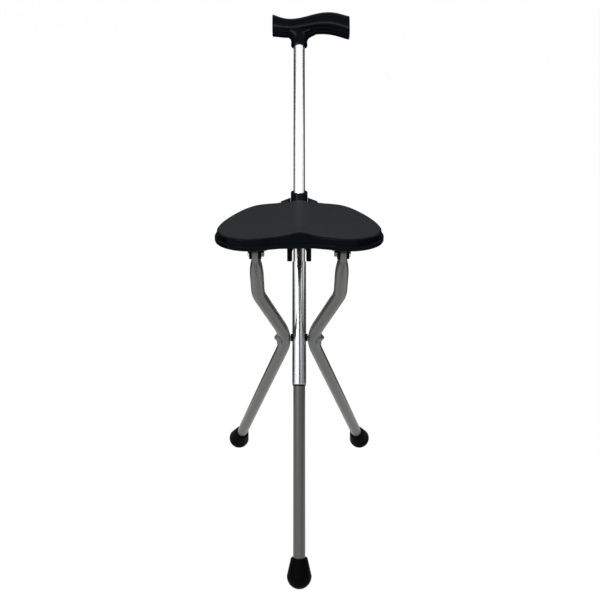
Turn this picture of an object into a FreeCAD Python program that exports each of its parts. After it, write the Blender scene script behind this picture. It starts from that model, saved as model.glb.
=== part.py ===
import FreeCAD, Part
import math
import os

from FreeCAD import Placement, Rotation, Vector

os.makedirs("parts", exist_ok=True)

# A walking stick that opens into a three-legged seat. Millimetres and degrees, +Z up, +X to the
# right and +Y away from the sitter's side. The origin is where the stick's own foot meets the floor.

# Stance and linkage. The stick leans back, the pair of legs leans forward, and they cross at the
# pivot. The seat hangs on the legs' tops and on a collar that slides on the stick. Pivot to seat
# hinge and seat hinge to collar are equally long, so the collar stays on the stick as it folds.
shaft_lean = 30.5
legs_lean = 28.0
link_length = 208.0
foot_reach = 365.0
neck_reach = 491.0
seat_tilt = 4.1

# Clearances
running_gap = 0.05
side_gap = 0.3
slide_gap = 0.3
seat_fit = 0.02

# Round tubes of the stick
thin_od = 19.0
thin_wall = 1.5
sleeve_od = 22.2
sleeve_below_pivot = 73.9
sleeve_above_pivot = 122.8
lower_tube_above_pivot = 26.0
upper_tube_above_pivot = 32.0
handle_socket_depth = 34.0
end_ring_height = 2.2
end_ring_od = 21.4
rivet_above_pivot = 100.0
rivet_r = 1.6
rivet_head_r = 3.2
rivet_head_height = 1.2
rivet_length = 6.0

# Bent legs
leg_od = 19.8
leg_wall = 1.5
leg_top_x = 60.7
leg_shoulder_drop = 93.0
leg_elbow_x = 18.3
leg_foot_x = 118.8
shoulder_bend_r = 60.0
elbow_bend_r = 110.0
tongue_thickness = 8.0
tongue_half_width = 10.0
tongue_taper_start = 44.0
tongue_taper_end = 8.0
cavity_end = 24.0
squeeze_step = 0.12
squeeze_bluntness = 2.0
crease_r = 2.6
crease_start = 9.0
crease_length = 30.0

# Rubber feet
foot_r = 19.1
foot_flat = 0.7
foot_rim_r = 13.2
foot_rise = 27.0
foot_lip_r = 1.6
foot_floor_drop = 2.0
foot_washer_thickness = 1.6
foot_washer_hole_r = 4.0

# Main pivot
bolt_r = 3.0
spacer_r = 6.0
spacer_gap = 0.4
saddle_r = 11.0
saddle_proud = 1.5
saddle_wrap_x = 4.5
nut_across_flats = 9.4
nut_base_height = 1.6
nut_dome_r = 4.4
nut_dome_sink = 1.4

# Seat moulding, in the seat's own frame: forward distance from the collar hinge, height above it.
# The front lobes reach past the leg hinges by the overhang, and the whole outline goes with them.
seat_front_overhang = 21.92
seat_outline_half = [
    (0.0, 215.9),
    (26.2, 217.6),
    (53.1, 226.4),
    (71.8, 229.1),
    (86.5, 225.5),
    (99.8, 217.0),
    (111.5, 202.5),
    (118.2, 185.0),
    (120.3, 165.0),
    (117.6, 140.0),
    (110.2, 109.0),
    (98.5, 75.0),
    (85.0, 47.0),
    (69.0, 27.5),
    (50.0, 18.5),
    (36.0, 14.0),
    (26.0, 7.0),
    (16.0, 1.0),
    (0.0, 0.0),
]
rim_height = 6.6
lip_bottom = -9.4
lip_top = -2.4
lip_thickness = 4.6
lip_low_round_r = 1.8
lip_high_round_r = 1.2
floor_bottom = -6.4
floor_thickness = 2.2
top_inset_low = 2.6
top_inset_high = 4.6
top_block_height = 16.0
top_wall = 3.0
edge_round_r = 1.6
pad_border = 0.6
pad_notch_border = 5.0
pad_thickness = 1.0
dish_depth = 3.0
dish_x = 58.0
dish_forward = 122.0
dish_half_x = 36.0
dish_half_forward = 62.0
ridge_rise = 5.0
ridge_half_x = 17.0
hump_rise = 0.6
hump_half_x = 34.0
hump_forward = 212.0
hump_half_forward = 80.0
cavity_top = 1.0
channel_gap = 0.8
slot_half_x = 11.0
slot_end_behind_clip = 15.0

# Collar, its hinge and its stop
collar_r = 13.8
collar_mouth_rise = 22.0
collar_foot_drop = 12.0
knuckle_r = 11.6
knuckle_tip_r = 5.6
knuckle_outer_x = 30.0
trunnion_r = 3.0
trunnion_outer_x = 26.0
knuckle_floor_forward = 34.0
stop_pin_r = 2.5
stop_pin_half_length = 13.2

# Seat hinge brackets
tongue_relief = 0.7
tongue_flare_room = 1.5
ear_thickness = 4.0
ear_r = 8.0
bracket_flange_half_x = 17.0
bracket_flange_half_forward = 10.5
bracket_flange_thickness = 5.0
hinge_pin_r = 3.0
hinge_head_r = 4.6
hinge_head_height = 2.2
hinge_nut_across_flats = 8.0
hinge_nut_height = 4.0

# Clip that snaps over the folded stick
clip_gap = 19.6
clip_prong = 7.0
clip_behind_hinge = 8.2
clip_length = 13.0
clip_below_axis = 13.0
clip_lead_in = 0.8

# Small screws
screw_head_r = 2.8
screw_head_height = 1.8
screw_r = 1.5
screw_length = 7.2

# Handle, in the stick's frame: heights above the neck's lower rim
# Stations along the grip: x, centre height, half height, half depth
grip_stations = [
    (-44.5, 36.5, 18.2, 12.8),
    (-34.0, 34.0, 16.5, 13.0),
    (-20.0, 31.8, 15.3, 13.0),
    (8.0, 34.9, 15.4, 13.0),
    (35.6, 40.2, 17.2, 13.5),
    (50.0, 40.5, 18.2, 13.6),
    (67.6, 37.3, 19.0, 13.6),
    (84.2, 32.6, 19.3, 13.2),
]
grip_squareness = 2.6
grip_end_chamfer = 0.8
grip_end_border = 2.6
grip_end_inset = 0.6
# Stations up the neck: height, half width, half depth, squareness
neck_stations = [
    (0.0, 13.8, 13.8, 2.0),
    (7.0, 13.7, 13.7, 2.0),
    (13.0, 15.4, 13.6, 2.0),
    (17.5, 20.0, 13.5, 2.1),
    (21.0, 26.5, 13.3, 2.2),
    (25.0, 33.0, 12.9, 2.3),
]


def rotation_about_x(angle):
    return Rotation(Vector(1, 0, 0), angle)


def placed(shape, frame):
    return shape.transformed(frame.toMatrix(), True)


def cylinder(radius, start, direction, length):
    return Part.makeCylinder(radius, length, start, direction)


def ring(outer_r, inner_r, start, direction, length):
    outer = cylinder(outer_r, start, direction, length)
    return outer.cut(cylinder(inner_r, start, direction, length))


def box(x_low, x_high, y_low, y_high, z_low, z_high):
    corner = Vector(x_low, y_low, z_low)
    return Part.makeBox(x_high - x_low, y_high - y_low, z_high - z_low, corner)


def hexagon_prism(across_flats, start, direction, length):
    prism = Part.Face(Part.makePolygon([
        Vector(across_flats / math.sqrt(3) * math.cos(math.radians(60 * i)),
               across_flats / math.sqrt(3) * math.sin(math.radians(60 * i)), 0)
        for i in range(7)
    ])).extrude(Vector(0, 0, length))
    turn = Rotation(Vector(0, 0, 1), direction)
    return placed(prism, Placement(start, turn))


def circles(shape):
    """The shape's circular edges."""
    return [e for e in shape.Edges if e.Length > 0.01 and not e.Degenerated
            and e.Curve.TypeId == "Part::GeomCircle"]


def both_sides(make):
    """One solid for each side of the object, as a group."""
    return Part.makeCompound([make(-1), make(1)])


def save(shape, node):
    shape.exportStep("parts/" + node + ".step")


# Frames of the stick, the legs and the seat
lean = math.radians(shaft_lean)
legs_angle = math.radians(legs_lean)
fold_angle = shaft_lean + legs_lean
foot_centre_height = foot_r - foot_flat
pivot_point = Vector(0, foot_reach * math.sin(lean), foot_centre_height + foot_reach * math.cos(lean))
leg_reach = foot_reach * math.cos(lean) / math.cos(legs_angle)
collar_reach = 2 * link_length * math.cos(math.radians(fold_angle))
shaft_frame = Placement(pivot_point, rotation_about_x(-shaft_lean))
legs_frame = Placement(pivot_point, rotation_about_x(legs_lean))
collar_point = shaft_frame.multVec(Vector(0, 0, collar_reach))
hinge_point = legs_frame.multVec(Vector(0, 0, link_length))
seat_frame = Placement(collar_point, rotation_about_x(-seat_tilt))
collar_frame = Placement(collar_point, rotation_about_x(-shaft_lean))

up = Vector(0, 0, 1)
across = Vector(1, 0, 0)
ground_block = box(-400, 400, -400, 800, -60, 0)


# Tubes of the stick
def lower_tube():
    bottom = -foot_reach - foot_floor_drop + foot_washer_thickness
    tube = ring(thin_od / 2, thin_od / 2 - thin_wall, Vector(0, 0, bottom), up,
                lower_tube_above_pivot - bottom)
    return tube.cut(pivot_bore())


def pivot_bore():
    return cylinder(bolt_r + running_gap, Vector(-sleeve_od, 0, 0), across, 2 * sleeve_od)


def sleeve_tube():
    tube = ring(sleeve_od / 2, thin_od / 2 + seat_fit, Vector(0, 0, -sleeve_below_pivot), up,
                sleeve_below_pivot + sleeve_above_pivot)
    edges = [e for e in circles(tube) if abs(e.Curve.Radius - sleeve_od / 2) < 0.01]
    tube = tube.makeFillet(0.5, edges)
    return tube.cut(pivot_bore()).cut(rivet_body(running_gap))


def upper_tube():
    bottom = upper_tube_above_pivot
    tube = ring(thin_od / 2, thin_od / 2 - thin_wall, Vector(0, 0, bottom), up,
                neck_reach + handle_socket_depth - bottom)
    stop = cylinder(stop_pin_r + seat_fit, Vector(-thin_od, 0, stop_pin_height()), across, 2 * thin_od)
    return tube.cut(stop).cut(rivet_body(running_gap))


def end_ring():
    """Plastic ring that closes the gap under the sleeve's lower end."""
    start = Vector(0, 0, -sleeve_below_pivot - end_ring_height)
    return ring(end_ring_od / 2, thin_od / 2 + seat_fit, start, up, end_ring_height)


def rivet_body(gap):
    """Blind rivet through the back of the sleeve and the upper tube."""
    start = Vector(0, sleeve_od / 2 + 0.2, rivet_above_pivot)
    return cylinder(rivet_r + gap, start, Vector(0, -1, 0), rivet_length + gap)


def sleeve_rivet():
    head_base = Vector(0, sleeve_od / 2 - 0.1, rivet_above_pivot)
    dome_r = (rivet_head_r ** 2 + rivet_head_height ** 2) / (2 * rivet_head_height)
    dome = Part.makeSphere(dome_r, head_base + Vector(0, rivet_head_height - dome_r, 0))
    head = cylinder(rivet_head_r, head_base, Vector(0, 1, 0), rivet_head_height + 1).common(dome)
    shell = cylinder(sleeve_od / 2, Vector(0, 0, rivet_above_pivot - 8), up, 16)
    return head.cut(shell).fuse(rivet_body(0)).removeSplitter()


def stop_pin_height():
    return collar_reach - collar_foot_drop - side_gap - stop_pin_r


def stop_pin():
    """Cross pin in the stick that the collar comes down on."""
    start = Vector(-stop_pin_half_length, 0, stop_pin_height())
    pin = cylinder(stop_pin_r, start, across, 2 * stop_pin_half_length)
    return pin.makeChamfer(0.5, circles(pin))


# Rubber feet, built upright about the centre of the dome
def foot_solid(tube_r):
    """Dome, straight taper and rounded lip turned about the tube's axis."""
    bottom = Vector(0, 0, -foot_r)
    dome_middle = Vector(foot_r * math.sin(math.radians(45)), 0, -foot_r * math.cos(math.radians(45)))
    widest = Vector(foot_r, 0, 0)
    lip_low = Vector(foot_rim_r, 0, foot_rise - foot_lip_r)
    lip_middle = Vector(foot_rim_r - 0.3 * foot_lip_r, 0, foot_rise - 0.3 * foot_lip_r)
    lip_high = Vector(foot_rim_r - foot_lip_r, 0, foot_rise)
    crown = Vector(0, 0, foot_rise)
    outline = Part.Wire([
        Part.Arc(bottom, dome_middle, widest).toShape(),
        Part.LineSegment(widest, lip_low).toShape(),
        Part.Arc(lip_low, lip_middle, lip_high).toShape(),
        Part.LineSegment(lip_high, crown).toShape(),
        Part.LineSegment(crown, bottom).toShape(),
    ])
    solid = Part.Face(outline).revolve(Vector(0, 0, 0), Vector(0, 0, 1), 360)
    return solid.cut(cylinder(tube_r + seat_fit, Vector(0, 0, -foot_floor_drop), up, foot_rise + 10))


def foot_washer(tube_r):
    washer = ring(tube_r - 0.2, foot_washer_hole_r, Vector(0, 0, -foot_floor_drop), up,
                  foot_washer_thickness)
    return washer


def main_foot_frame():
    return Placement(Vector(0, 0, foot_centre_height), rotation_about_x(-shaft_lean))


# Legs, drawn in the plane that holds both straights: x across, z along the lean
def leg_points(side):
    top = Vector(side * leg_top_x, 0, link_length - tongue_taper_start)
    shoulder = Vector(side * leg_top_x, 0, link_length - leg_shoulder_drop)
    elbow = Vector(side * leg_elbow_x, 0, 0)
    foot = Vector(side * leg_foot_x, 0, -leg_reach)
    return top, shoulder, elbow, foot


def bend(before, corner, after, radius):
    """Start, middle and end of the arc that rounds a corner."""
    to_before = (before - corner).normalize()
    to_after = (after - corner).normalize()
    half = (math.pi - to_before.getAngle(to_after)) / 2
    inward = (to_before + to_after).normalize()
    reach = radius * math.tan(half)
    middle = corner + inward * (radius / math.cos(half) - radius)
    return corner + to_before * reach, middle, corner + to_after * reach


def leg_direction(side):
    top, shoulder, elbow, foot = leg_points(side)
    return (elbow - foot).normalize()


def leg_sweep(side, radius, foot_end):
    """Solid round bar along the bent centreline, from the foot up to the taper."""
    top, shoulder, elbow, foot = leg_points(side)
    start = foot + leg_direction(side) * foot_end
    low_arc = bend(foot, elbow, shoulder, elbow_bend_r)
    high_arc = bend(elbow, shoulder, top, shoulder_bend_r)
    path = Part.Wire([
        Part.LineSegment(start, low_arc[0]).toShape(),
        Part.Arc(*low_arc).toShape(),
        Part.LineSegment(low_arc[2], high_arc[0]).toShape(),
        Part.Arc(*high_arc).toShape(),
        Part.LineSegment(high_arc[2], top).toShape(),
    ])
    section = Part.Wire(Part.makeCircle(radius, start, leg_direction(side)))
    return path.makePipeShell([section], True, False)


def flat_section(half_x, half_y, squareness, centre):
    """Closed smooth curve between an ellipse and a rounded rectangle."""
    points = []
    for i in range(24):
        angle = 2 * math.pi * i / 24
        c = math.cos(angle)
        s = math.sin(angle)
        x = half_x * math.copysign(abs(c) ** (2 / squareness), c)
        y = half_y * math.copysign(abs(s) ** (2 / squareness), s)
        points.append(centre + Vector(x, y, 0))
    curve = Part.BSplineCurve()
    curve.interpolate(points, PeriodicFlag=True)
    return Part.Wire(curve.toShape())


def leg_taper(side, round_r, half_x, half_y, squareness, end_drop):
    """The squeezed end, from the round tube to the flat tongue."""
    start = link_length - tongue_taper_start
    end = link_length - end_drop
    sections = []
    for share in (0.0, 0.3, 0.55, 0.78, 1.0):
        ease = share ** squeeze_bluntness
        centre = Vector(side * leg_top_x, 0, start + (end - start) * share)
        sections.append(flat_section(round_r + (half_x - round_r) * ease,
                                     round_r + (half_y - round_r) * ease,
                                     2 + (squareness - 2) * ease, centre))
    return Part.makeLoft(sections, True, False)


def leg_outer(side, grow=0.0, foot_end=0.0):
    return leg_sweep(side, leg_od / 2 + grow, foot_end)


def crease(side, face):
    """Groove pinched into the narrow edge of the squeezed end."""
    top = Vector(side * leg_top_x, face * (tongue_half_width + 0.6), link_length - crease_start)
    return Part.makeCone(crease_r, 0.3, crease_length, top, Vector(0, -0.035 * face, -1))


def leg(side):
    foot_end = foot_washer_thickness - foot_floor_drop
    bore_r = leg_od / 2 - leg_wall
    taper = leg_taper(side, leg_od / 2 - squeeze_step, tongue_thickness / 2 - squeeze_step,
                      tongue_half_width - squeeze_step, 4.0, tongue_taper_end)
    hollow = leg_taper(side, bore_r - squeeze_step, 1.0, tongue_half_width - 3.5, 2.5, cavity_end)
    hollow = hollow.fuse(leg_sweep(side, bore_r, foot_end - 1))
    centre = Vector(side * leg_top_x, 0, link_length)
    low_x = centre.x - tongue_thickness / 2
    tongue = cylinder(tongue_half_width, Vector(low_x, 0, link_length), across, tongue_thickness)
    tongue = tongue.fuse(box(low_x, low_x + tongue_thickness, -tongue_half_width, tongue_half_width,
                             link_length - tongue_taper_end - 3, link_length)).removeSplitter()
    solid = leg_outer(side, 0.0, foot_end).fuse(taper).fuse(tongue).cut(hollow)
    for face in (-1, 1):
        solid = solid.cut(crease(side, face))
    hinge_bore = cylinder(hinge_pin_r + running_gap, centre - across * leg_od, across, 2 * leg_od)
    bolt_bore = cylinder(bolt_r + seat_fit, Vector(-60, 0, 0), across, 120)
    return solid.cut(hinge_bore).cut(bolt_bore)


def leg_foot_frame(side):
    top, shoulder, elbow, foot = leg_points(side)
    turn = Rotation(up, legs_frame.Rotation.multVec(leg_direction(side)))
    return Placement(legs_frame.multVec(foot), turn)


def elbow_centre_x():
    """Distance from the stick's axis to the leg's centreline at the pivot."""
    foot, elbow, shoulder = leg_points(1)[3], leg_points(1)[2], leg_points(1)[1]
    start, middle, end = bend(foot, elbow, shoulder, elbow_bend_r)
    inward = (middle - elbow).normalize()
    centre = middle + inward * elbow_bend_r
    return centre.x - math.sqrt(elbow_bend_r ** 2 - centre.z ** 2)


# Main pivot: one bolt through both legs and the stick
def nut_seat_x():
    return elbow_centre_x() + leg_od / 2 + saddle_proud


def domed_nut(side):
    start = Vector(side * nut_seat_x(), 0, 0)
    outward = Vector(side, 0, 0)
    base = hexagon_prism(nut_across_flats, start, outward, nut_base_height)
    crown = Part.makeSphere(nut_dome_r, start + outward * (nut_base_height - nut_dome_sink))
    half = cylinder(nut_dome_r + 1, start + outward * (nut_base_height - 0.5), outward, nut_dome_r + 1)
    return base.fuse(crown.common(half)).removeSplitter()


def pivot_bolt():
    end = nut_seat_x() + 2.0
    shank = cylinder(bolt_r, Vector(-end, 0, 0), across, 2 * end)
    return domed_nut(-1).fuse(shank).cut(nut_thread_space())


def nut_thread_space():
    """The far end of the bolt that the separate cap nut takes up."""
    return cylinder(nut_dome_r * 2, Vector(nut_seat_x() + 2.0, 0, 0), across, 20)


def pivot_cap_nut():
    bore = cylinder(bolt_r, Vector(nut_seat_x() - 1, 0, 0), across, 3.0)
    return domed_nut(1).cut(bore)


def saddle_washer(side):
    """Curved washer that lets the flat nut bear on the round, bent tube."""
    inner = side * (elbow_centre_x() + saddle_wrap_x)
    length = nut_seat_x() - elbow_centre_x() - saddle_wrap_x
    disc = cylinder(saddle_r, Vector(inner, 0, 0), Vector(side, 0, 0), length)
    bore = cylinder(bolt_r + seat_fit, Vector(-60, 0, 0), across, 120)
    return disc.cut(leg_outer(side)).cut(bore)


def pivot_spacer(side):
    """Spacer on the bolt, saddled to the sleeve and flat where the leg turns past it."""
    start = sleeve_od / 4
    length = elbow_centre_x() - leg_od / 2 - spacer_gap - start
    disc = cylinder(spacer_r, Vector(side * start, 0, 0), Vector(side, 0, 0), length)
    sleeve = cylinder(sleeve_od / 2, Vector(0, 0, -30), up, 60)
    bore = cylinder(bolt_r + running_gap, Vector(-60, 0, 0), across, 120)
    return disc.cut(sleeve).cut(bore)


# Seat, in its own frame: y is minus the forward distance, z is up from the collar hinge
def seat_stretch():
    """Share that puts the drawn outline's front lobes at their overhang past the leg hinges."""
    drawn_reach = max(f for x, f in seat_outline_half)
    return round((seat_front_overhang - hinge_in_seat().y) / drawn_reach, 4)


def seat_curve(inset, height):
    """The seat's outline, moved in by the inset, as one smooth closed curve."""
    stretch = seat_stretch()
    half = [Vector(x, -f * stretch, 0) for x, f in seat_outline_half]
    mirrored = [Vector(-p.x, p.y, 0) for p in half[-2:0:-1]]
    loop = half + mirrored
    points = []
    for i, p in enumerate(loop):
        run = loop[(i + 1) % len(loop)] - loop[i - 1]
        inward = Vector(-run.y, run.x, 0).normalize()
        points.append(p + inward * inset + Vector(0, 0, height))
    curve = Part.BSplineCurve()
    curve.interpolate(points, PeriodicFlag=True)
    return Part.Wire(curve.toShape())


def bump(value, centre, half):
    return math.exp(-((value - centre) / half) ** 2)


def seat_top_height(x, forward):
    dish = dish_depth * bump(abs(x), dish_x, dish_half_x) * bump(forward, dish_forward, dish_half_forward)
    ridge = ridge_rise * bump(x, 0, ridge_half_x)
    hump = hump_rise * bump(x, 0, hump_half_x) * bump(forward, hump_forward, hump_half_forward)
    return rim_height + ridge + hump - dish


def above_seat(drop):
    """Everything above the dished sitting surface, lowered by the drop."""
    stretch = seat_stretch()
    rows = [[Vector(13 * j, -f * stretch, seat_top_height(13 * j, f) - drop) for f in range(-20, 241, 13)]
            for j in range(-10, 11)]
    surface = Part.BSplineSurface()
    surface.interpolate(rows)
    return surface.toShape().extrude(Vector(0, 0, 60))


def seat_prism(inset, low, high):
    return Part.Face(seat_curve(inset, low)).extrude(Vector(0, 0, high - low))


def collar_notch():
    """Room for the collar to turn in the back of the seat."""
    reach = math.hypot(collar_r, collar_foot_drop) + 1.0
    return cylinder(reach, Vector(-collar_r - side_gap, 0, 0), across, 2 * (collar_r + side_gap))


def seat_top():
    draft = Part.makeLoft([seat_curve(top_inset_low, lip_top),
                           seat_curve(top_inset_high, top_block_height)], True, True)
    solid = draft.cut(above_seat(0.0))
    rim = [e for e in solid.Edges if e.BoundBox.ZMin > rim_height - 3 and e.Length > 300]
    solid = solid.makeFillet(edge_round_r, rim)
    solid = solid.cut(seat_prism(top_inset_low + top_wall, lip_top - 1, cavity_top))
    for side in (-1, 1):
        solid = solid.cut(knuckle(side))
    return solid.cut(stick_channel()).cut(collar_notch())


def stick_channel():
    """Half-round channel on the underside that the folded stick lies in."""
    hinge = hinge_in_seat()
    return cylinder(thin_od / 2 + channel_gap, Vector(0, 0, 0), hinge, 1.25 * link_length)


def seat_pad():
    """Thin non-slip sheet glued on the sitting surface, just inside its edge."""
    slab = seat_prism(top_inset_high + pad_border, lip_top, top_block_height)
    slab = slab.common(above_seat(0.0)).cut(above_seat(-pad_thickness))
    for side in (-1, 1):
        slab = slab.cut(knuckle(side))
    reach = math.hypot(collar_r, collar_foot_drop) + pad_notch_border
    half_width = collar_r + pad_notch_border
    return slab.cut(cylinder(reach, Vector(-half_width, 0, 0), across, 2 * half_width))


def seat_base():
    tray = seat_prism(0.0, lip_bottom, lip_top)
    low_edge = [e for e in tray.Edges if e.BoundBox.ZMax < lip_bottom + 0.01]
    high_edge = [e for e in tray.Edges if e.BoundBox.ZMin > lip_top - 0.01]
    tray = tray.makeFillet(lip_low_round_r, low_edge).makeFillet(lip_high_round_r, high_edge)
    tray = tray.cut(seat_prism(lip_thickness, lip_bottom - 1, floor_bottom))
    tray = tray.cut(seat_prism(lip_thickness, floor_bottom + floor_thickness, lip_top + 1))
    slot_end = clip_forward() - slot_end_behind_clip
    slot = box(-slot_half_x, slot_half_x, -slot_end, 10, lip_bottom - 1, lip_top + 1)
    tray = tray.cut(slot).cut(stick_channel())
    for side in (-1, 1):
        tray = tray.fuse(knuckle(side))
    reach = knuckle_outer_x + 10
    bore = cylinder(trunnion_r + running_gap, Vector(-reach, 0, 0), across, 2 * reach)
    blind = [cylinder(trunnion_r + 1, Vector(side * (trunnion_outer_x + 0.3), 0, 0), Vector(side, 0, 0), 20)
             for side in (-1, 1)]
    bore = bore.cut(blind[0]).cut(blind[1])
    return with_screw_holes(tray.cut(collar_notch()).cut(bore))


def knuckle(side):
    """Tapered boss beside the collar that holds a trunnion, with its web into the tray."""
    inner_x = collar_r + side_gap
    length = knuckle_outer_x - inner_x
    cone = Part.makeCone(knuckle_r, knuckle_tip_r, length, Vector(side * inner_x, 0, 0), Vector(side, 0, 0))
    web = Part.Face(Part.makePolygon([
        Vector(0, knuckle_r * 0.55, -knuckle_r * 0.75),
        Vector(0, -knuckle_floor_forward, lip_bottom),
        Vector(0, -knuckle_floor_forward, lip_top - 0.1),
        Vector(0, knuckle_r * 0.55, lip_top - 0.1),
        Vector(0, knuckle_r * 0.55, -knuckle_r * 0.75),
    ])).extrude(Vector(side * (length - 6.0), 0, 0))
    web.translate(Vector(side * inner_x, 0, 0))
    return cone.fuse(web)


# Collar, in the stick's direction with its origin on the hinge
def slide_collar():
    barrel = cylinder(collar_r, Vector(0, 0, -collar_foot_drop), up, 60)
    mouth = box(-40, 40, -40, 40, 0, 80)
    tilt = Placement(Vector(0, 0, collar_mouth_rise), rotation_about_x(shaft_lean - seat_tilt))
    barrel = barrel.cut(placed(mouth, tilt))
    edge = [e for e in barrel.Edges if e.BoundBox.ZMax > collar_mouth_rise]
    barrel = barrel.makeFillet(1.2, edge)
    barrel = barrel.cut(cylinder(thin_od / 2 + slide_gap, Vector(0, 0, -30), up, 100))
    return barrel.cut(cylinder(trunnion_r, Vector(-40, 0, 0), across, 80))


def trunnion_pin(side):
    start = Vector(side * (thin_od / 2 + slide_gap + 0.4), 0, 0)
    length = trunnion_outer_x - thin_od / 2 - slide_gap - 0.4
    return cylinder(trunnion_r, start, Vector(side, 0, 0), length)


# Hinge brackets under the front of the seat
def hinge_in_seat():
    return seat_frame.inverse().multVec(hinge_point)


def hinge_bracket(side):
    centre = hinge_in_seat() + Vector(side * leg_top_x, 0, 0)
    gap = tongue_thickness / 2 + side_gap
    flange = box(centre.x - bracket_flange_half_x, centre.x + bracket_flange_half_x,
                 centre.y - bracket_flange_half_forward, centre.y + bracket_flange_half_forward,
                 floor_bottom - bracket_flange_thickness, floor_bottom)
    corners = [e for e in flange.Edges if abs(e.Vertexes[0].X - e.Vertexes[1].X) < 0.01
               and abs(e.Vertexes[0].Y - e.Vertexes[1].Y) < 0.01]
    flange = flange.makeFillet(4.0, corners)
    solid = flange
    for ear_side in (-1, 1):
        ear_x = centre.x + ear_side * (gap + ear_thickness / 2) - ear_thickness / 2
        ear = cylinder(ear_r, Vector(ear_x, centre.y, centre.z), across, ear_thickness)
        root = box(ear_x, ear_x + ear_thickness, centre.y - ear_r, centre.y + ear_r,
                   centre.z, floor_bottom - bracket_flange_thickness)
        solid = solid.fuse(ear).fuse(root)
    relief_r = tongue_half_width + tongue_relief
    solid = solid.cut(cylinder(relief_r, centre - Vector(gap, 0, 0), across, 2 * gap))
    top = centre.z + relief_r
    front = centre.y - bracket_flange_half_forward
    solid = solid.cut(box(centre.x - gap, centre.x + gap, front - 1, centre.y, centre.z, top))
    wide = gap + tongue_flare_room
    solid = solid.cut(box(centre.x - wide, centre.x + wide, front - 1, centre.y - ear_r, centre.z, top))
    solid = solid.cut(cylinder(hinge_pin_r, centre - Vector(40, 0, 0), across, 80))
    return with_screw_holes(solid.removeSplitter())


def hinge_pin(side):
    """Pin with its head on the outer ear and a nut on the inner ear."""
    centre = hinge_in_seat() + Vector(side * leg_top_x, 0, 0)
    reach = tongue_thickness / 2 + side_gap + ear_thickness
    outward = Vector(side, 0, 0)
    shank = cylinder(hinge_pin_r, centre - outward * (reach + hinge_nut_height), outward,
                     2 * reach + hinge_nut_height)
    head = cylinder(hinge_head_r, centre + outward * reach, outward, hinge_head_height)
    outer_x = (centre + outward * (reach + hinge_head_height)).x
    rim = [e for e in circles(head) if abs(e.Curve.Center.x - outer_x) < 0.01]
    return head.makeFillet(1.2, rim).fuse(shank).removeSplitter()


def hinge_nut(side):
    centre = hinge_in_seat() + Vector(side * leg_top_x, 0, 0)
    reach = tongue_thickness / 2 + side_gap + ear_thickness
    inward = Vector(-side, 0, 0)
    start = centre + inward * reach
    nut = hexagon_prism(hinge_nut_across_flats, start, inward, hinge_nut_height)
    return nut.cut(cylinder(hinge_pin_r, start, inward, hinge_nut_height))


# Clip under the front edge, centred on the stick when it is folded
def clip_forward():
    return round(-hinge_in_seat().y - clip_behind_hinge, 1)


def clip_axis_height(forward):
    hinge = hinge_in_seat()
    return hinge.z * forward / -hinge.y


def stick_clip():
    low = clip_axis_height(clip_forward()) - clip_below_axis
    half = clip_gap / 2
    y_low = -clip_forward() - clip_length / 2
    block = box(-half - clip_prong, half + clip_prong, y_low, y_low + clip_length, low, floor_bottom)
    upright = [e for e in block.Edges if abs(e.Vertexes[0].X - e.Vertexes[1].X) < 0.01
               and abs(e.Vertexes[0].Y - e.Vertexes[1].Y) < 0.01]
    block = block.makeFillet(2.0, upright)
    throat_top = clip_axis_height(clip_forward() - clip_length / 2)
    throat = box(-half, half, y_low - 1, y_low + clip_length + 1, low - 1, throat_top)
    cradle = cylinder(half, Vector(0, 0, 0), hinge_in_seat(), 2 * clip_forward())
    mouth = Part.Face(Part.makePolygon([
        Vector(-half - clip_lead_in, 0, low), Vector(half + clip_lead_in, 0, low),
        Vector(half, 0, low + clip_lead_in * 2), Vector(-half, 0, low + clip_lead_in * 2),
        Vector(-half - clip_lead_in, 0, low),
    ])).extrude(Vector(0, clip_length + 2, 0))
    mouth.translate(Vector(0, y_low - 1, 0))
    return with_screw_holes(block.cut(throat).cut(cradle).cut(mouth))


# Screws: a domed head against what it holds and a shank that goes on into it
def screw(head_at, direction):
    dome_r = screw_head_r * 1.15
    head = Part.makeSphere(dome_r, head_at - direction * (screw_head_height - dome_r))
    slab = cylinder(screw_head_r, head_at - direction * screw_head_height, direction, screw_head_height)
    return head.common(slab).fuse(cylinder(screw_r, head_at, direction, screw_length))


def bracket_screw_points():
    """Four heads under each flange's corners."""
    hinge = hinge_in_seat()
    x = bracket_flange_half_x - screw_head_r - 0.8
    y = bracket_flange_half_forward - screw_head_r - 0.8
    height = floor_bottom - bracket_flange_thickness
    return [Vector(side * leg_top_x + i * x, hinge.y + j * y, height)
            for side in (-1, 1) for i in (-1, 1) for j in (-1, 1)]


def clip_screw_points():
    """One head per prong, on the tray's floor."""
    x = clip_gap / 2 + clip_prong / 2
    height = floor_bottom + floor_thickness
    return [Vector(side * x, -clip_forward(), height) for side in (-1, 1)]


def with_screw_holes(solid):
    """The solid with a close hole for each screw's shank."""
    for p in bracket_screw_points():
        solid = solid.cut(cylinder(screw_r + seat_fit, p, up, screw_length))
    for p in clip_screw_points():
        solid = solid.cut(cylinder(screw_r + seat_fit, p, -up, screw_length))
    return solid


# Handle, in the stick's direction with its origin at the neck's lower rim
def grip_section(x, centre, half_height, half_depth):
    section = flat_section(half_height, half_depth, grip_squareness, Vector(0, 0, 0))
    return placed(section, Placement(Vector(x, 0, centre), Rotation(Vector(0, 1, 0), -90)))


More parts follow.
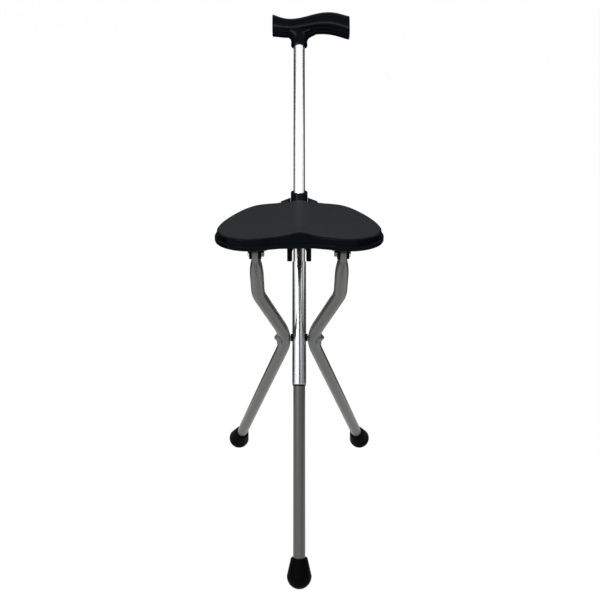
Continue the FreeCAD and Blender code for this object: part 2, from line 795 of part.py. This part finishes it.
def handle():
    grip = Part.makeLoft([grip_section(*station) for station in grip_stations], True, False)
    for outward, station in ((-1, grip_stations[0]), (1, grip_stations[-1])):
        x, centre, half_height, half_depth = station
        rim = grip_section(x, centre, half_height, half_depth)
        small_rim = grip_section(x + outward * grip_end_chamfer, centre, half_height - grip_end_chamfer,
                                 half_depth - grip_end_chamfer)
        grip = grip.fuse(Part.makeLoft([rim, small_rim], True, True))
        border = grip_section(x + outward * grip_end_chamfer, centre, half_height - grip_end_border,
                              half_depth - grip_end_border)
        grip = grip.cut(Part.Face(border).extrude(Vector(-outward * grip_end_inset, 0, 0)))
    neck = Part.makeLoft([flat_section(half_x, half_y, squareness, Vector(0, 0, height))
                          for height, half_x, half_y, squareness in neck_stations], True, False)
    socket = cylinder(thin_od / 2 + seat_fit, Vector(0, 0, -1), up, handle_socket_depth + 1)
    return grip.fuse(neck).cut(socket)


handle_frame = Placement(shaft_frame.multVec(Vector(0, 0, neck_reach)), rotation_about_x(-shaft_lean))

# Stick
save(placed(lower_tube(), shaft_frame), "lower_tube")
save(placed(sleeve_tube(), shaft_frame), "sleeve_tube")
save(placed(upper_tube(), shaft_frame), "upper_tube")
save(placed(end_ring(), shaft_frame), "sleeve_end_ring")
save(placed(sleeve_rivet(), shaft_frame), "sleeve_rivet")
save(placed(stop_pin(), shaft_frame), "collar_stop_pin")
save(placed(handle(), handle_frame), "handle")
save(placed(foot_solid(thin_od / 2), main_foot_frame()).cut(ground_block), "main_foot")
save(placed(foot_washer(thin_od / 2), main_foot_frame()), "main_foot_washer")
save(placed(both_sides(pivot_spacer), shaft_frame), "pivot_spacers")

# Legs
for side, name in ((-1, "left"), (1, "right")):
    save(placed(leg(side), legs_frame), name + "_leg")
    frame = leg_foot_frame(side)
    save(placed(foot_solid(leg_od / 2), frame).cut(ground_block), name + "_foot")
    save(placed(foot_washer(leg_od / 2), frame), name + "_foot_washer")
save(placed(pivot_bolt(), legs_frame), "pivot_bolt")
save(placed(pivot_cap_nut(), legs_frame), "pivot_cap_nut")
save(placed(both_sides(saddle_washer), legs_frame), "saddle_washers")

# Seat
save(placed(seat_top(), seat_frame), "seat_top")
save(placed(seat_pad(), seat_frame), "seat_pad")
save(placed(seat_base(), seat_frame), "seat_base")
save(placed(hinge_bracket(-1), seat_frame), "left_hinge_bracket")
save(placed(hinge_bracket(1), seat_frame), "right_hinge_bracket")
save(placed(both_sides(hinge_pin), seat_frame), "hinge_pins")
save(placed(both_sides(hinge_nut), seat_frame), "hinge_nuts")
save(placed(stick_clip(), seat_frame), "stick_clip")
bracket_screws = Part.makeCompound([screw(p, up) for p in bracket_screw_points()])
save(placed(bracket_screws, seat_frame), "bracket_screws")
clip_screws = Part.makeCompound([screw(p, -up) for p in clip_screw_points()])
save(placed(clip_screws, seat_frame), "clip_screws")

# Collar
save(placed(slide_collar(), collar_frame), "slide_collar")
save(placed(both_sides(trunnion_pin), collar_frame), "trunnion_pins")
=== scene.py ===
import bpy
import math
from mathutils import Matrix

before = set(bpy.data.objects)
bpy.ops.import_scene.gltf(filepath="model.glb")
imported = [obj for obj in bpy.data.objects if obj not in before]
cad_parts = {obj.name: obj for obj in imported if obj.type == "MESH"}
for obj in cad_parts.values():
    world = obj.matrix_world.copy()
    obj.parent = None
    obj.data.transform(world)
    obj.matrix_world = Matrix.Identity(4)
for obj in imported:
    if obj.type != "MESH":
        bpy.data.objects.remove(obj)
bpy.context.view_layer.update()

# Camera: a little above the handle and in front of the seat, looking down at it.
# The long-ish lens keeps the stick's lean from opening up towards its foot.
camera = bpy.data.objects.new("camera", bpy.data.cameras.new("camera"))
camera.location = (0, -0.850, 0.8887)
camera.rotation_euler = (math.radians(67.05), 0, 0)
camera.data.sensor_width = 36
camera.data.lens = 43.8
camera.data.shift_x = 0.0013
camera.data.shift_y = -0.05
bpy.context.collection.objects.link(camera)
bpy.context.scene.camera = camera
bpy.context.scene.view_settings.view_transform = "Standard"

# Room: white paper on the floor, running back without an edge, under an even white sky.
# The paper keeps the object's soft shadow.
paper_size = 120
paper_white = (0.93, 0.93, 0.93, 1)
glow_strength = 1.03
glow_share = 0.93
sky_light_strength = 0.55
sky_seen_strength = 1.0
pure_white = (1, 1, 1, 1)


def new_material(name):
    """An empty node material, with its nodes, links and output."""
    material = bpy.data.materials.new(name)
    material.use_nodes = True
    material.node_tree.nodes.clear()
    output = material.node_tree.nodes.new("ShaderNodeOutputMaterial")
    return material, material.node_tree.nodes, material.node_tree.links, output


def seen_directly(tree):
    """1 for rays from the camera and for mirror and glass rays, so these all show the same white."""
    path = tree.nodes.new("ShaderNodeLightPath")
    seen = path.outputs["Is Camera Ray"]
    for ray in ("Is Glossy Ray", "Is Transmission Ray"):
        either = tree.nodes.new("ShaderNodeMath")
        either.operation = "MAXIMUM"
        tree.links.new(seen, either.inputs[0])
        tree.links.new(path.outputs[ray], either.inputs[1])
        seen = either.outputs[0]
    return seen


def mixed(tree, share, first, second, target):
    """Sends a mix of two shaders to a socket."""
    blend = tree.nodes.new("ShaderNodeMixShader")
    tree.links.new(share, blend.inputs[0])
    tree.links.new(first.outputs[0], blend.inputs[1])
    tree.links.new(second.outputs[0], blend.inputs[2])
    tree.links.new(blend.outputs[0], target)


bpy.ops.mesh.primitive_grid_add(x_subdivisions=2, y_subdivisions=2, size=paper_size, location=(0, 0, 0))
paper = bpy.context.object
paper.name = "paper"
paper_material, nodes, links, output = new_material("white_paper")
lit = nodes.new("ShaderNodeBsdfDiffuse")
lit.inputs["Color"].default_value = paper_white
glow = nodes.new("ShaderNodeEmission")
glow.inputs["Color"].default_value = pure_white
glow.inputs["Strength"].default_value = glow_strength
share = nodes.new("ShaderNodeMath")
share.operation = "MULTIPLY"
share.inputs[1].default_value = glow_share
links.new(seen_directly(paper_material.node_tree), share.inputs[0])
mixed(paper_material.node_tree, share.outputs[0], lit, glow, output.inputs["Surface"])
paper.data.materials.append(paper_material)

world = bpy.data.worlds.new("white_sky")
bpy.context.scene.world = world
world.use_nodes = True
sky_tree = world.node_tree
sky_tree.nodes.clear()
skies = []
for strength in (sky_light_strength, sky_seen_strength):
    sky = sky_tree.nodes.new("ShaderNodeBackground")
    sky.inputs["Color"].default_value = pure_white
    sky.inputs["Strength"].default_value = strength
    skies.append(sky)
sky_output = sky_tree.nodes.new("ShaderNodeOutputWorld")
mixed(sky_tree, seen_directly(sky_tree), skies[0], skies[1], sky_output.inputs["Surface"])


# Lamps: one large soft box up to the left and in front, a weaker one to the right and a long
# low one over the camera, which draws thin highlights along the handle.
def soft_box(name, place, aim, width, height, watts):
    lamp = bpy.data.objects.new(name, bpy.data.lights.new(name, "AREA"))
    lamp.data.shape = "RECTANGLE"
    lamp.data.size = width
    lamp.data.size_y = height
    lamp.data.energy = watts
    lamp.location = place
    right, ahead, up = [a - p for a, p in zip(aim, place)]
    tilt = math.atan2(math.hypot(right, ahead), -up)
    turn = math.atan2(ahead, right) - math.pi / 2
    lamp.rotation_euler = (tilt, 0, turn)
    bpy.context.collection.objects.link(lamp)


soft_box("lamp_left", (-1.6, -1.5, 2.2), (0, 0.2, 0.45), width=1.2, height=1.2, watts=26)
soft_box("lamp_right", (1.9, -0.9, 1.6), (0, 0.2, 0.45), width=0.8, height=1.4, watts=9)
soft_box("lamp_front", (0, -1.3, 2.5), (0, 0.1, 0.5), width=2.4, height=0.35, watts=24)

# Dark and grey cards out of the picture, seen only in polished faces. Those beside and behind
# the stick darken the tubes' edges, and the one above the camera darkens their middle.
side_x = 1.3
back_y = 1.2
above_paper = 0.004


def card_finish(name, colour):
    material, nodes, links, output = new_material(name)
    face = nodes.new("ShaderNodeEmission")
    face.inputs["Color"].default_value = colour
    links.new(face.outputs[0], output.inputs["Surface"])
    return material


def card(name, material, corners):
    mesh = bpy.data.meshes.new(name)
    mesh.from_pydata(corners, [], [tuple(range(len(corners)))])
    mesh.materials.append(material)
    sheet = bpy.data.objects.new(name, mesh)
    bpy.context.collection.objects.link(sheet)
    sheet.visible_camera = False
    sheet.visible_diffuse = False
    sheet.visible_shadow = False
    sheet.visible_transmission = False


def facing_card(name, material, y, x_low, x_high, z_low, z_high):
    """An upright card across the picture."""
    card(name, material, [(x_low, y, z_low), (x_high, y, z_low), (x_high, y, z_high), (x_low, y, z_high)])


black_card = card_finish("black_card", (0.02, 0.02, 0.021, 1))
grey_card = card_finish("grey_card", (0.22, 0.22, 0.23, 1))
dark_card = card_finish("dark_card", (0.055, 0.055, 0.058, 1))
# Stepped outline of the side cards, low in front and high at the back: depth, height
side_outline = [(0, 0), (back_y, 0), (back_y, 1.45), (0.42, 1.45),
                (0.42, 1.12), (0.65, 1.12), (0.65, 0.6), (0, 0.6)]
for name, x in (("card_left", -side_x), ("card_right", side_x)):
    card(name, dark_card, [(x, y, z) for y, z in side_outline])
facing_card("card_back", dark_card, back_y, -side_x, side_x, 0, 1.0)
facing_card("card_above_camera", black_card, -1.2, -0.1, 0.7, 0.85, 1.62)
card("card_floor", black_card, [(-side_x, 0.5, above_paper), (side_x, 0.5, above_paper),
                                (side_x, back_y, above_paper), (-side_x, back_y, above_paper)])
card("card_right_front", grey_card, [(side_x, -1.7, 0.2), (side_x, 0, 0.2),
                                     (side_x, 0, 1.4), (side_x, -1.7, 1.4)])

# Stick, upper tube: drawn aluminium with a satin face. The handle is glued on its top end and
# the sleeve holds its lower end.
stick_lean = math.radians(30.5)
draw_stretch = 0.008


def finish(name, colour, metallic, roughness, specular=0.5):
    """A material with one surface shader. Gives the material, its nodes, links and shader."""
    material, nodes, links, output = new_material(name)
    surface = nodes.new("ShaderNodeBsdfPrincipled")
    surface.inputs["Specular IOR Level"].default_value = specular
    surface.inputs["Base Color"].default_value = colour
    surface.inputs["Metallic"].default_value = metallic
    surface.inputs["Roughness"].default_value = roughness
    links.new(surface.outputs[0], output.inputs["Surface"])
    return material, nodes, links, surface


def drawn_grain(nodes, links, scale):
    """Noise drawn out along the leaning stick, as the die leaves it on a tube."""
    place = nodes.new("ShaderNodeTexCoord")
    upright = nodes.new("ShaderNodeMapping")
    upright.inputs["Rotation"].default_value = (stick_lean, 0, 0)
    along = nodes.new("ShaderNodeMapping")
    along.inputs["Scale"].default_value = (1, 1, draw_stretch)
    noise = nodes.new("ShaderNodeTexNoise")
    noise.inputs["Scale"].default_value = scale
    noise.inputs["Detail"].default_value = 2.0
    links.new(place.outputs["Object"], upright.inputs["Vector"])
    links.new(upright.outputs[0], along.inputs["Vector"])
    links.new(along.outputs[0], noise.inputs["Vector"])
    return noise.outputs["Fac"]


def vary_roughness(nodes, links, surface, value, low, high):
    """Lets a 0 to 1 value set the roughness between two limits."""
    span = nodes.new("ShaderNodeMapRange")
    span.inputs["To Min"].default_value = low
    span.inputs["To Max"].default_value = high
    links.new(value, span.inputs["Value"])
    links.new(span.outputs["Result"], surface.inputs["Roughness"])


def vary_colour(nodes, links, surface, value, dark, light):
    """Lets a 0 to 1 value set the base colour between two shades."""
    ramp = nodes.new("ShaderNodeValToRGB")
    ramp.color_ramp.elements[0].position = 0.3
    ramp.color_ramp.elements[0].color = dark
    ramp.color_ramp.elements[1].position = 0.7
    ramp.color_ramp.elements[1].color = light
    links.new(value, ramp.inputs["Fac"])
    links.new(ramp.outputs["Color"], surface.inputs["Base Color"])


def dress(material, *names):
    """Puts a finish on CAD pieces."""
    for name in names:
        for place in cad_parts[name].material_slots:
            place.material = material


satin_tube, nodes, links, surface = finish("satin_aluminium", (0.86, 0.86, 0.87, 1), 1.0, 0.24)
drawn = drawn_grain(nodes, links, 500)
vary_roughness(nodes, links, surface, drawn, 0.14, 0.2)
vary_colour(nodes, links, surface, drawn, (0.84, 0.84, 0.85, 1), (0.88, 0.88, 0.89, 1))
dress(satin_tube, "upper_tube")

# Stick, sleeve: polished tube that slides over both thinner tubes. A rivet at the back and the
# pivot bolt hold it.
bright_tube, nodes, links, surface = finish("polished_aluminium", (0.84, 0.85, 0.86, 1), 1.0, 0.1)
drawn = drawn_grain(nodes, links, 400)
vary_roughness(nodes, links, surface, drawn, 0.13, 0.19)
vary_colour(nodes, links, surface, drawn, (0.8, 0.81, 0.82, 1), (0.86, 0.87, 0.88, 1))
dress(bright_tube, "sleeve_tube")


# Stick, lower tube, and legs: one grey satin paint over tube, painted darker on the stick as shade and
# lighter on the legs as light.
# The legs are bent first and squeezed flat at the top, then painted.
def grain(nodes, links, scale, detail=3.0):
    """Fine even noise in the object's own space."""
    place = nodes.new("ShaderNodeTexCoord")
    noise = nodes.new("ShaderNodeTexNoise")
    noise.inputs["Scale"].default_value = scale
    noise.inputs["Detail"].default_value = detail
    links.new(place.outputs["Object"], noise.inputs["Vector"])
    return noise.outputs["Fac"]


def relief(nodes, links, surface, value, strength, depth):
    bump = nodes.new("ShaderNodeBump")
    bump.inputs["Strength"].default_value = strength
    bump.inputs["Distance"].default_value = depth
    links.new(value, bump.inputs["Height"])
    links.new(bump.outputs[0], surface.inputs["Normal"])


def paint_grey(shade, share):
    """A slightly yellow-green grey, as a share of the paint's mean shade."""
    return (share * shade, (share + 0.03) * shade, (share - 0.03) * shade, 1)


# Both tones are one paint: the stick's darker tone is painted shade, the legs' lighter tone painted
# light.
for name, shade, pieces in (("stick_grey_painted_shade", 0.094, ["lower_tube"]),
                            ("leg_grey_painted_light", 0.115, ["left_leg", "right_leg"])):
    paint, nodes, links, surface = finish(name, paint_grey(shade, 1.0), 0.6, 0.3)
    orange_peel = grain(nodes, links, 900)
    vary_roughness(nodes, links, surface, orange_peel, 0.26, 0.36)
    vary_colour(nodes, links, surface, orange_peel, paint_grey(shade, 0.9), paint_grey(shade, 1.1))
    relief(nodes, links, surface, orange_peel, 0.06, 0.0002)
    dress(paint, *pieces)

# Small bright steel: rivet, stop pin, screws and pins, turned and plated.
# The rivet is set, the hinge pins are held by their nuts.
bright_steel, nodes, links, surface = finish("bright_steel", (0.7, 0.71, 0.72, 1), 1.0, 0.14)
vary_roughness(nodes, links, surface, grain(nodes, links, 400), 0.1, 0.2)
dress(bright_steel, "sleeve_rivet", "collar_stop_pin", "bracket_screws", "clip_screws", "hinge_pins",
      "trunnion_pins")

# Pivot bolt and its cap nut: steel with its colour painted dark as a painted dark reflection, so that it
# shows only the lamps brightly.
# The nut is screwed on until both saddle washers press on the legs.
steel_painted_dark_reflection, nodes, links, surface = finish("steel_painted_dark_reflection", (0.16, 0.165, 0.17, 1), 1.0, 0.14)
vary_roughness(nodes, links, surface, grain(nodes, links, 400), 0.1, 0.18)
dress(steel_painted_dark_reflection, "pivot_bolt", "pivot_cap_nut")

# Zinc plated washers and nuts: pressed steel in a bluish satin grey.
# The saddle washers sit on the bent tubes and the foot washers under their ends.
zinc, nodes, links, surface = finish("zinc_plate", (0.13, 0.155, 0.18, 1), 1.0, 0.36)
spangle = grain(nodes, links, 260)
vary_roughness(nodes, links, surface, spangle, 0.3, 0.44)
vary_colour(nodes, links, surface, spangle, (0.11, 0.13, 0.15, 1), (0.15, 0.178, 0.205, 1))
dress(zinc, "saddle_washers", "hinge_nuts", "main_foot_washer", "left_foot_washer", "right_foot_washer")

# Rubber feet: moulded black rubber pushed over the tube ends, dull with a fine grain.
# Each has a lip round its mouth and a small flat on its sole.
rubber_black = (0.0012, 0.0012, 0.0012, 1)
rubber, nodes, links, surface = finish("black_rubber", rubber_black, 0.0, 0.5, specular=0.02)
dust = grain(nodes, links, 700, detail=6.0)
vary_roughness(nodes, links, surface, dust, 0.42, 0.62)
vary_colour(nodes, links, surface, dust, (0.0009, 0.0009, 0.001, 1), (0.0016, 0.0016, 0.0017, 1))
relief(nodes, links, surface, dust, 0.12, 0.0003)
dress(rubber, "main_foot", "left_foot", "right_foot")

# Plain black plastic: the ring under the sleeve, the spacers, the hinge brackets and the clip.
# Injection moulded with a fine matt texture.
plastic_black = (0.001, 0.001, 0.0012, 1)
plain_plastic, nodes, links, surface = finish("black_plastic", plastic_black, 0.0, 0.4, specular=0.03)
moulded = grain(nodes, links, 1200)
vary_roughness(nodes, links, surface, moulded, 0.34, 0.48)
relief(nodes, links, surface, moulded, 0.08, 0.0002)
dress(plain_plastic, "sleeve_end_ring", "pivot_spacers", "left_hinge_bracket", "right_hinge_bracket",
      "stick_clip")

# Seat mouldings, collar and handle: hard black plastic with a gloss skin.
# The two seat mouldings are glued together round the rim, and the handle on the tube.
blue_black = (0.0007, 0.0014, 0.0026, 1)
gloss_plastic, nodes, links, surface = finish("gloss_black", blue_black, 0.0, 0.18, specular=0.045)
skin = grain(nodes, links, 40)
vary_roughness(nodes, links, surface, skin, 0.14, 0.22)
relief(nodes, links, surface, skin, 0.02, 0.0006)
dress(gloss_plastic, "seat_top", "seat_base", "slide_collar", "handle")

# Seat pad: a thin non-slip sheet with a fine leathery grain, charcoal and matt.
# It is glued on the sitting surface inside the moulding's rim, and its edge is rolled.
pad, nodes, links, surface = finish("charcoal_pad", (0.0088, 0.0109, 0.0116, 1), 0.0, 0.6, specular=0.12)
cells = nodes.new("ShaderNodeTexVoronoi")
cells.inputs["Scale"].default_value = 900
place = nodes.new("ShaderNodeTexCoord")
links.new(place.outputs["Object"], cells.inputs["Vector"])
vary_roughness(nodes, links, surface, cells.outputs["Distance"], 0.5, 0.72)
relief(nodes, links, surface, cells.outputs["Distance"], 0.2, 0.0003)
dress(pad, "seat_pad")
rolled_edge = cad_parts["seat_pad"].modifiers.new("rolled_edge", "BEVEL")
rolled_edge.width = 0.0007
rolled_edge.segments = 3
rolled_edge.angle_limit = math.radians(40)
